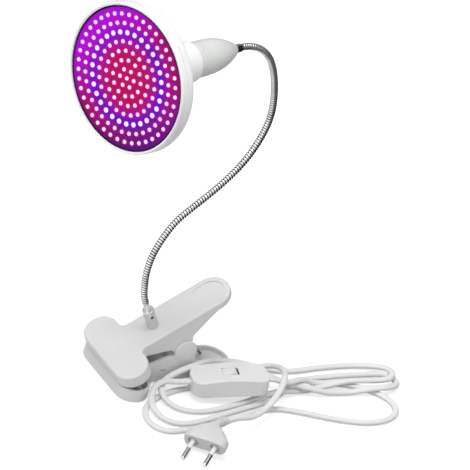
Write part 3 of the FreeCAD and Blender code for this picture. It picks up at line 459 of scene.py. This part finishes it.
def model_lens(name, lens_radius):
    bpy.ops.object.select_all(action="DESELECT")
    bpy.ops.mesh.primitive_cylinder_add(vertices=lens_sides, radius=lens_radius, depth=lens_wall,
                                        end_fill_type="NGON", location=(0.0, 0.0, lens_wall / 2))
    piece = bpy.context.active_object
    piece.name = name
    bpy.ops.object.transform_apply(location=True, rotation=False, scale=False)
    bpy.ops.object.mode_set(mode="EDIT")
    bpy.ops.mesh.select_mode(type="FACE")
    bpy.ops.mesh.select_all(action="DESELECT")
    bpy.ops.object.mode_set(mode="OBJECT")
    top = max(piece.data.polygons, key=lambda face: face.center.z)
    top.select = True
    bpy.ops.object.mode_set(mode="EDIT")
    height = lens_wall
    for rise, shrink in lens_steps:
        bpy.ops.mesh.extrude_region_move(TRANSFORM_OT_translate={"value": (0.0, 0.0, rise)})
        height += rise
        bpy.ops.transform.resize(value=(shrink, shrink, 1.0), center_override=(0.0, 0.0, height))
    bpy.ops.object.mode_set(mode="OBJECT")
    bpy.ops.object.shade_smooth_by_angle(angle=math.radians(50))
    return piece


# %% Copy the lens to its rings and join the copies
red_radius = 0.0016
blue_radius = 0.00205
red_rings = [(0, 1), (1, 6), (2, 12), (3, 18), (4, 24), (6, 36), (7, 42)]
blue_rings = [(5, 30)]


def fill_rings(name, pattern, rings):
    copies = []
    for step, count in rings:
        for k in range(count):
            copy = pattern.copy()
            copy.data = pattern.data.copy()
            turn = Matrix.Rotation(2 * math.pi * k / count, 4, "Z")
            shift = Matrix.Translation((step * ring_pitch, 0.0, board_front))
            copy.data.transform(head_matrix @ turn @ shift)
            scene.collection.objects.link(copy)
            copies.append(copy)
    bpy.ops.object.select_all(action="DESELECT")
    for copy in copies:
        copy.select_set(True)
    bpy.context.view_layer.objects.active = copies[0]
    bpy.ops.object.join()
    piece = bpy.context.active_object
    piece.name = name
    bpy.data.objects.remove(pattern)
    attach(piece, "bulb")
    print(name, "count:", len(copies), "faces:", len(piece.data.polygons))
    return piece


red_lenses = fill_rings("red_lenses", model_lens("red_pattern", red_radius), red_rings)
blue_lenses = fill_rings("blue_lenses", model_lens("blue_pattern", blue_radius), blue_rings)
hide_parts("red_leds")
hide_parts("blue_leds")

# %% [markdown]
# ## Shared effects
# Most of the lamp is moulded plastic, and all of it has the same faint grain and slow changes in gloss.
# Such an effect is built once as a node group with named inputs, and each material uses it with its own
# values. `wire` adds a node, sets its plain values and links the rest, and `number` does the same for one
# sum. `product` and `distance_of` are two sums that come up often. `spread` stretches a value between two
# limits, and `spread_gloss` does so between a group's two gloss levels.


# %% Node helpers
def wire(tree, kind, links=None, values=None, **settings):
    node = tree.nodes.new(kind)
    for name, value in settings.items():
        setattr(node, name, value)
    for key, value in (values or {}).items():
        node.inputs[key].default_value = value
    for key, source in (links or {}).items():
        tree.links.new(source, node.inputs[key])
    return node


def number(tree, operation, a, b=None):
    node = tree.nodes.new("ShaderNodeMath")
    node.operation = operation
    for socket, item in zip(node.inputs, (a, b)):
        if isinstance(item, (int, float)):
            socket.default_value = item
        elif item is not None:
            tree.links.new(item, socket)
    return node.outputs[0]


def product(tree, a, b):
    return number(tree, "MULTIPLY", a, b)


def distance_of(tree, a, b):
    return number(tree, "SQRT", number(tree, "ADD", product(tree, a, a), product(tree, b, b)))


def spread(tree, value, start, end, first=0.0, last=1.0, **settings):
    return wire(tree, "ShaderNodeMapRange", {"Value": value},
                {"From Min": start, "From Max": end, "To Min": first, "To Max": last}, **settings).outputs[0]


def spread_gloss(tree, value, given):
    return wire(tree, "ShaderNodeMapRange",
                {"Value": value, "To Min": given["Gloss Low"], "To Max": given["Gloss High"]},
                {"From Min": 0.3, "From Max": 0.7}).outputs[0]


def blend_colours(tree, factor, first, second):
    node = wire(tree, "ShaderNodeMix", {0: factor}, data_type="RGBA")
    for socket, item in ((node.inputs[6], first), (node.inputs[7], second)):
        if isinstance(item, tuple):
            socket.default_value = (*item, 1.0)
        else:
            tree.links.new(item, socket)
    return node.outputs[2]


def new_group(name, inputs, outputs):
    tree = bpy.data.node_groups.new(name, "ShaderNodeTree")
    for socket_name, kind, default in inputs:
        socket = tree.interface.new_socket(socket_name, in_out="INPUT", socket_type=kind)
        socket.default_value = default
    for socket_name, kind in outputs:
        tree.interface.new_socket(socket_name, in_out="OUTPUT", socket_type=kind)
    return tree, tree.nodes.new("NodeGroupInput").outputs, tree.nodes.new("NodeGroupOutput").inputs


def use_group(tree, group, values):
    return wire(tree, "ShaderNodeGroup", None, values, node_tree=group)


# %% Group: moulded skin
def make_moulded_skin():
    tree, given, result = new_group(
        "moulded_skin",
        [("Colour", "NodeSocketColor", (0.8, 0.8, 0.8, 1.0)),
         ("Tint", "NodeSocketColor", (0.75, 0.75, 0.75, 1.0)),
         ("Grain Size", "NodeSocketFloat", 1400.0),
         ("Gloss Low", "NodeSocketFloat", 0.3),
         ("Gloss High", "NodeSocketFloat", 0.45)],
        [("Colour", "NodeSocketColor"), ("Roughness", "NodeSocketFloat"), ("Height", "NodeSocketFloat")])
    place = wire(tree, "ShaderNodeTexCoord").outputs["Object"]
    flow = wire(tree, "ShaderNodeTexNoise", {"Vector": place},
                {"Scale": 38.0, "Detail": 3.0, "Roughness": 0.55}).outputs[0]
    grain = wire(tree, "ShaderNodeTexNoise", {"Vector": place, "Scale": given["Grain Size"]}, {"Detail": 2.0})
    patch = spread(tree, flow, 0.35, 0.65)
    tree.links.new(blend_colours(tree, patch, given["Colour"], given["Tint"]), result["Colour"])
    tree.links.new(spread_gloss(tree, flow, given), result["Roughness"])
    tree.links.new(grain.outputs[0], result["Height"])
    return tree


moulded_skin = make_moulded_skin()
print("group:", moulded_skin.name)


# %% Group: drawn metal, with fine scratches and a faint haze
def make_drawn_metal():
    tree, given, result = new_group(
        "drawn_metal",
        [("Colour", "NodeSocketColor", (0.8, 0.8, 0.8, 1.0)),
         ("Haze", "NodeSocketColor", (0.6, 0.6, 0.6, 1.0)),
         ("Stretch", "NodeSocketVector", (400.0, 400.0, 4000.0)),
         ("Gloss Low", "NodeSocketFloat", 0.08),
         ("Gloss High", "NodeSocketFloat", 0.3)],
        [("Colour", "NodeSocketColor"), ("Roughness", "NodeSocketFloat"), ("Height", "NodeSocketFloat")])
    place = wire(tree, "ShaderNodeTexCoord").outputs["Object"]
    stretched = wire(tree, "ShaderNodeVectorMath", {0: place, 1: given["Stretch"]}, operation="MULTIPLY")
    lines = wire(tree, "ShaderNodeTexNoise", {"Vector": stretched.outputs[0]},
                 {"Scale": 1.0, "Detail": 4.0}).outputs[0]
    haze = wire(tree, "ShaderNodeTexNoise", {"Vector": place}, {"Scale": 90.0, "Detail": 2.0}).outputs[0]
    cloud = spread(tree, haze, 0.45, 0.75)
    tree.links.new(blend_colours(tree, cloud, given["Colour"], given["Haze"]), result["Colour"])
    tree.links.new(spread_gloss(tree, lines, given), result["Roughness"])
    tree.links.new(lines, result["Height"])
    return tree


drawn_metal = make_drawn_metal()
print("group:", drawn_metal.name)

# %% [markdown]
# The lamp's board glows in bands of crimson, magenta and violet. The colour belongs to the rings of LEDs,
# so the group works in the board's own round coordinates: how far a point is from the middle, and how far
# it is from the nearest LED. A halo round each LED comes from the second of them. The hue also drifts
# across the face as it is seen in the picture, more violet at the top and darker at the bottom, as three
# washes of colour. Each wash has the two limits between which it grows, its strength and its colour.

# %% Group: light spilt on the board
face_ramp = [
    (0.00, (0.50, 0.000, 0.080)), (0.34, (0.48, 0.000, 0.100)), (0.46, (0.42, 0.000, 0.220)),
    (0.55, (0.24, 0.000, 0.430)), (0.63, (0.10, 0.000, 0.540)), (0.71, (0.26, 0.000, 0.380)),
    (0.79, (0.38, 0.000, 0.200)), (0.88, (0.33, 0.000, 0.110)), (0.955, (0.24, 0.000, 0.110)),
    (0.975, (0.020, 0.000, 0.050)), (1.00, (0.010, 0.000, 0.025)),
]
board_up = (0.677, 0.736)
board_right = (0.603, -0.798)
lean_of_wash = 0.6
leds_added_per_ring = 6.0
halo_reach = (0.0013, 0.0030)
halo_colour = (0.85, 0.03, 0.60)
wash_reach = (0.020, 0.046)
wash_edge = (0.966 * face_radius, 0.974 * face_radius)
violet_wash = ((0.15, 0.95), 0.85, (0.42, 0.0, 0.74))
blue_wash = ((-0.72, -1.15), 0.60, (0.16, 0.0, 0.42))
dusk_wash = ((-0.45, -0.95), 0.75, (0.06, 0.0, 0.16))


def along(tree, x, y, heading):
    return number(tree, "ADD", product(tree, x, heading[0] / face_radius),
                  product(tree, y, heading[1] / face_radius))


def make_spilt_light():
    tree, given, result = new_group("spilt_light", [("Halo", "NodeSocketFloat", 0.5)],
                                    [("Colour", "NodeSocketColor"), ("Height", "NodeSocketFloat")])
    place = wire(tree, "ShaderNodeTexCoord").outputs["Object"]
    local = wire(tree, "ShaderNodeMapping", {"Vector": place},
                 {"Location": board_place, "Rotation": head_turn.to_euler()}, vector_type="TEXTURE")
    axes = wire(tree, "ShaderNodeSeparateXYZ", {"Vector": local.outputs[0]})
    x, y = axes.outputs[0], axes.outputs[1]
    radius = distance_of(tree, x, y)
    ramp = wire(tree, "ShaderNodeValToRGB", {0: number(tree, "DIVIDE", radius, face_radius)})
    stops = ramp.color_ramp.elements
    stops[0].color = (*face_ramp[0][1], 1.0)
    stops[1].color = (*face_ramp[-1][1], 1.0)
    for position, colour in face_ramp[1:-1]:
        stops.new(position).color = (*colour, 1.0)

    ring = number(tree, "ROUND", number(tree, "DIVIDE", radius, ring_pitch))
    ring = number(tree, "MINIMUM", ring, float(red_rings[-1][0]))
    count = number(tree, "MAXIMUM", product(tree, ring, leds_added_per_ring), 1.0)
    turn_share = number(tree, "DIVIDE", number(tree, "ARCTAN2", y, x), 2 * math.pi)
    share = product(tree, turn_share, count)
    off = number(tree, "SUBTRACT", share, number(tree, "ROUND", share))
    arc = number(tree, "DIVIDE", product(tree, off, 2 * math.pi), count)
    sideways = product(tree, arc, radius)
    inwards = number(tree, "SUBTRACT", radius, product(tree, ring, ring_pitch))
    halo = spread(tree, distance_of(tree, sideways, inwards), *halo_reach, 1.0, 0.0,
                  interpolation_type="SMOOTHSTEP")

    height_share = along(tree, x, y, board_up)
    width_share = along(tree, x, y, board_right)
    lifted = number(tree, "SUBTRACT", height_share, product(tree, width_share, lean_of_wash))
    reach = product(tree, spread(tree, radius, *wash_reach), spread(tree, radius, *wash_edge, 1.0, 0.0))
    washes = ((lifted, violet_wash), (lifted, blue_wash), (height_share, dusk_wash))
    shade = ramp.outputs[0]
    for level, (limits, strength, colour) in washes:
        amount = product(tree, spread(tree, level, *limits), strength)
        shade = blend_colours(tree, product(tree, reach, amount), shade, colour)
    spot = product(tree, halo, given["Halo"])
    tree.links.new(blend_colours(tree, spot, shade, halo_colour), result["Colour"])
    weave = wire(tree, "ShaderNodeTexNoise", {"Vector": place}, {"Scale": 900.0, "Detail": 2.0})
    tree.links.new(weave.outputs[0], result["Height"])
    return tree


spilt_light = make_spilt_light()
print("group:", spilt_light.name, "stops:", len(face_ramp))


# %% [markdown]
# ## Materials
# The Principled BSDF stays in each material, and the groups feed it. A plain plastic needs only a colour, a
# tint and two gloss levels. Metals are the same with their own group and a metallic value of one.

# %% Plastic and metal recipes
def start_material(name):
    material = bpy.data.materials.new(name)
    material.use_nodes = True
    return material, material.node_tree, material.node_tree.nodes["Principled BSDF"]


def raise_height(tree, shader, height, strength, distance):
    bump = wire(tree, "ShaderNodeBump", {"Height": height}, {"Strength": strength, "Distance": distance})
    tree.links.new(bump.outputs["Normal"], shader.inputs["Normal"])


def plastic(name, colour, tint, gloss, grain=1400.0, depth=0.00002, strength=0.25, coat=0.0):
    material, tree, shader = start_material(name)
    skin = use_group(tree, moulded_skin, {"Colour": (*colour, 1.0), "Tint": (*tint, 1.0), "Grain Size": grain,
                                          "Gloss Low": gloss[0], "Gloss High": gloss[1]})
    tree.links.new(skin.outputs["Colour"], shader.inputs["Base Color"])
    tree.links.new(skin.outputs["Roughness"], shader.inputs["Roughness"])
    raise_height(tree, shader, skin.outputs["Height"], strength, depth)
    shader.inputs["IOR"].default_value = 1.46
    shader.inputs["Coat Weight"].default_value = coat
    shader.inputs["Coat Roughness"].default_value = 0.15
    return material


def metal(name, colour, haze, gloss, stretch=(400.0, 400.0, 4000.0), strength=0.1):
    material, tree, shader = start_material(name)
    skin = use_group(tree, drawn_metal, {"Colour": (*colour, 1.0), "Haze": (*haze, 1.0), "Stretch": stretch,
                                         "Gloss Low": gloss[0], "Gloss High": gloss[1]})
    tree.links.new(skin.outputs["Colour"], shader.inputs["Base Color"])
    tree.links.new(skin.outputs["Roughness"], shader.inputs["Roughness"])
    raise_height(tree, shader, skin.outputs["Height"], strength, distance=0.00002)
    shader.inputs["Metallic"].default_value = 1.0
    return material


# %% White plastics
clip_plastic = plastic("clip_plastic", (0.79, 0.79, 0.792), (0.765, 0.765, 0.768), (0.42, 0.54))
holder_plastic = plastic("holder_plastic", (0.76, 0.775, 0.76), (0.72, 0.735, 0.72), (0.26, 0.36), coat=0.2)
bulb_plastic = plastic("bulb_plastic", (0.93, 0.935, 0.93), (0.90, 0.905, 0.90), (0.34, 0.44))
switch_plastic = plastic("switch_plastic", (0.86, 0.86, 0.862), (0.83, 0.83, 0.833), (0.30, 0.42))
plug_rubber = plastic("plug_rubber", (0.69, 0.69, 0.695), (0.65, 0.65, 0.655), (0.42, 0.56), grain=2200.0)
sleeve_plastic = plastic("sleeve_plastic", (0.86, 0.86, 0.865), (0.84, 0.84, 0.845), (0.35, 0.45))
cord_sheath = plastic("cord_sheath", (0.85, 0.85, 0.855), (0.81, 0.81, 0.815), (0.40, 0.55), grain=700.0,
                      depth=0.00005, strength=0.3)

# %% Metals
wound_chrome = metal("wound_chrome", (0.78, 0.78, 0.79), (0.58, 0.58, 0.60), (0.10, 0.20))
# near-black metal: painted shade in the hose's seams
painted_seam_shade = metal("painted_seam_shade", (0.030, 0.030, 0.032), (0.015, 0.015, 0.016), (0.35, 0.5))
post_chrome = metal("post_chrome", (0.66, 0.66, 0.67), (0.52, 0.52, 0.53), (0.14, 0.26),
                    stretch=(500.0, 500.0, 60.0))
collar_chrome = metal("collar_chrome", (0.84, 0.84, 0.85), (0.66, 0.66, 0.67), (0.06, 0.14))
plain_steel = metal("plain_steel", (0.34, 0.34, 0.355), (0.18, 0.18, 0.19), (0.16, 0.32))
pin_metal = metal("pin_metal", (0.66, 0.65, 0.63), (0.46, 0.45, 0.44), (0.08, 0.20))
yellow_brass = metal("yellow_brass", (0.72, 0.52, 0.22), (0.50, 0.34, 0.14), (0.2, 0.4))
cap_aluminium = metal("cap_aluminium", (0.78, 0.78, 0.79), (0.60, 0.60, 0.61), (0.2, 0.36))

# %% Pieces that only show when the bulb is screwed out
pale_ceramic = plastic("pale_ceramic", (0.74, 0.71, 0.64), (0.66, 0.63, 0.56), (0.55, 0.75), grain=900.0)
black_glass = plastic("black_glass", (0.012, 0.012, 0.013), (0.02, 0.02, 0.022), (0.04, 0.1))
board_green = plastic("board_green", (0.02, 0.16, 0.05), (0.015, 0.11, 0.035), (0.3, 0.45))
part_grey = plastic("part_grey", (0.05, 0.05, 0.055), (0.08, 0.08, 0.085), (0.35, 0.5))


# %% Glowing pieces
def glowing(name, colour, strength, rim_colour):
    material, tree, shader = start_material(name)
    facing = wire(tree, "ShaderNodeLayerWeight", None, {"Blend": 0.35})
    shade = blend_colours(tree, facing.outputs["Facing"], colour, rim_colour)
    tree.links.new(shade, shader.inputs["Emission Color"])
    shader.inputs["Emission Strength"].default_value = strength
    shader.inputs["Base Color"].default_value = (0.25, 0.12, 0.22, 1.0)
    shader.inputs["Roughness"].default_value = 0.3
    return material


def make_board_light():
    material, tree, shader = start_material("board_light")
    spill = use_group(tree, spilt_light, {"Halo": 0.40})
    tree.links.new(spill.outputs["Colour"], shader.inputs["Emission Color"])
    shader.inputs["Emission Strength"].default_value = 0.95
    shader.inputs["Base Color"].default_value = (0.012, 0.0, 0.012, 1.0)
    shader.inputs["Roughness"].default_value = 0.6
    shader.inputs["Specular IOR Level"].default_value = 0.08
    raise_height(tree, shader, spill.outputs["Height"], strength=0.1, distance=0.00003)
    return material


board_light = make_board_light()
red_light = glowing("red_light", (1.0, 0.74, 0.90), 0.98, (0.92, 0.25, 0.58))
blue_light = glowing("blue_light", (0.90, 0.76, 1.0), 1.0, (0.50, 0.28, 0.95))

# %% Dress every piece
finishes = [
    (clip_plastic, ("upper_half", "lower_half")),
    (holder_plastic, ("holder_shell",)),
    (bulb_plastic, ("bulb_housing",)),
    (switch_plastic, ("switch_base", "switch_cover")),
    (plug_rubber, ("plug_body",)),
    (sleeve_plastic, ("pin_sleeves",)),
    (post_chrome, ("post",)),
    (collar_chrome, ("lower_collar", "upper_collar")),
    (plain_steel, ("pivot_pin", "set_screw", "post_washer", "post_nut", "rocker_pin", "case_screws",
                   "holder_nut")),
    (pin_metal, ("plug_pins",)),
    (yellow_brass, ("terminal_screws", "centre_contact", "screw_sleeve", "switch_contacts", "contact_tip")),
    (cap_aluminium, ("screw_cap",)),
    (pale_ceramic, ("socket_core",)),
    (black_glass, ("base_insulator",)),
    (board_green, ("driver_board",)),
    (part_grey, ("driver_parts",)),
    (board_light, ("led_board",)),
    (cord_sheath, ("clip_lead",)),
]
for material, names in finishes:
    for name in names:
        for slot in nodes[name].material_slots:
            slot.material = material
for piece, material in ((first_cord, cord_sheath), (second_cord, cord_sheath), (lead_lower, cord_sheath),
                        (lead_upper, cord_sheath), (spring, plain_steel), (switch_key, switch_plastic),
                        (red_lenses, red_light), (blue_lenses, blue_light)):
    piece.data.materials.clear()
    piece.data.materials.append(material)
for piece in (hose_lower, hose_upper):
    piece.data.materials[0] = wound_chrome
    piece.data.materials[1] = painted_seam_shade
print("materials:", len(bpy.data.materials))

# %% [markdown]
# ## The studio
# A product photograph like this is lit from a large soft source above, over a pale sweep. The floor is a
# pale grey that takes a faint shadow, and it gives off just enough light of its own, seen by the camera and
# by glossy surfaces only, to look white. Chrome is only as lively as what it reflects. Seen from above, an
# upright metal tube mirrors the floor around it, so for glossy rays the floor and the world grow dark
# towards the right and the back, as the unlit side of a studio does. Three lamps light the pieces: a broad
# one overhead, one from the left, and a small weak one that lifts the lampholder's shaded side.

# %% Floor
floor_size = 30.0
floor_height = -0.0003
floor_tone = (0.6, 0.6, 0.6)
floor_glow = 0.60
unlit_headings = [((0.86, -0.51, 0.0), 0.03), ((0.64, 0.77, 0.0), 0.30)]
floor_fade = (0.02, 0.14)

scene.view_settings.view_transform = "Standard"
bpy.ops.object.select_all(action="DESELECT")
bpy.ops.mesh.primitive_plane_add(size=floor_size, location=(0.0, 0.0, floor_height))
floor = bpy.context.active_object
floor.name = "floor"


def unlit_side(tree, place, start, end):
    levels = []
    for heading, dark in unlit_headings:
        share = wire(tree, "ShaderNodeVectorMath", {0: place}, {1: heading}, operation="DOT_PRODUCT")
        levels.append(spread(tree, share.outputs["Value"], start, end, 1.0, dark))
    return product(tree, *levels)


def make_floor_paint():
    material, tree, shader = start_material("pale_floor")
    shader.inputs["Roughness"].default_value = 0.9
    shader.inputs["Specular IOR Level"].default_value = 0.0
    shader.inputs["Emission Color"].default_value = (1.0, 1.0, 1.0, 1.0)
    path = wire(tree, "ShaderNodeLightPath")
    glossy = path.outputs["Is Glossy Ray"]
    place = wire(tree, "ShaderNodeTexCoord").outputs["Object"]
    unlit = unlit_side(tree, place, *floor_fade)
    mirrored = wire(tree, "ShaderNodeCombineXYZ", {0: unlit, 1: unlit, 2: unlit})
    tone = wire(tree, "ShaderNodeVectorMath", {0: mirrored.outputs[0]}, {1: floor_tone}, operation="MULTIPLY")
    tree.links.new(blend_colours(tree, glossy, floor_tone, tone.outputs[0]), shader.inputs["Base Color"])
    glow = number(tree, "ADD", path.outputs["Is Camera Ray"], product(tree, glossy, unlit))
    tree.links.new(product(tree, glow, floor_glow), shader.inputs["Emission Strength"])
    return material


floor.data.materials.append(make_floor_paint())

# %% World
soft_level = 0.50
camera_level = 1.0
world_fade = (0.25, 0.60)
world = bpy.data.worlds.new("studio")
scene.world = world
world.use_nodes = True
world_tree = world.node_tree
background = world_tree.nodes["Background"]
path = wire(world_tree, "ShaderNodeLightPath")
direction = wire(world_tree, "ShaderNodeTexCoord").outputs["Generated"]
mirrored_level = unlit_side(world_tree, direction, *world_fade)
lit_level = wire(world_tree, "ShaderNodeMix", {0: path.outputs["Is Glossy Ray"], 3: mirrored_level},
                 {2: soft_level})
world_level = wire(world_tree, "ShaderNodeMix", {0: path.outputs["Is Camera Ray"], 2: lit_level.outputs[0]},
                   {3: camera_level})
world_tree.links.new(world_level.outputs[0], background.inputs["Strength"])
background.inputs["Color"].default_value = (1.0, 1.0, 1.0, 1.0)


# %% Lamps
lamps_aim = Vector((0.0, 0.0, 0.12))


def area_lamp(name, place, size, power):
    data = bpy.data.lights.new(name, "AREA")
    data.size = size
    data.energy = power
    lamp = bpy.data.objects.new(name, data)
    lamp.location = place
    lamp.visible_camera = False
    lamp.rotation_mode = "QUATERNION"
    lamp.rotation_quaternion = (Vector(place) - lamps_aim).to_track_quat("Z", "Y")
    scene.collection.objects.link(lamp)
    print(name, "power in W:", power)


area_lamp("key_lamp", place=(-0.8, -0.2, 2.6), size=1.5, power=43.0)
area_lamp("side_lamp", place=(-2.6, -0.5, 0.7), size=1.2, power=6.0)
area_lamp("head_lamp", place=(0.25, -0.35, 0.55), size=0.25, power=0.22)
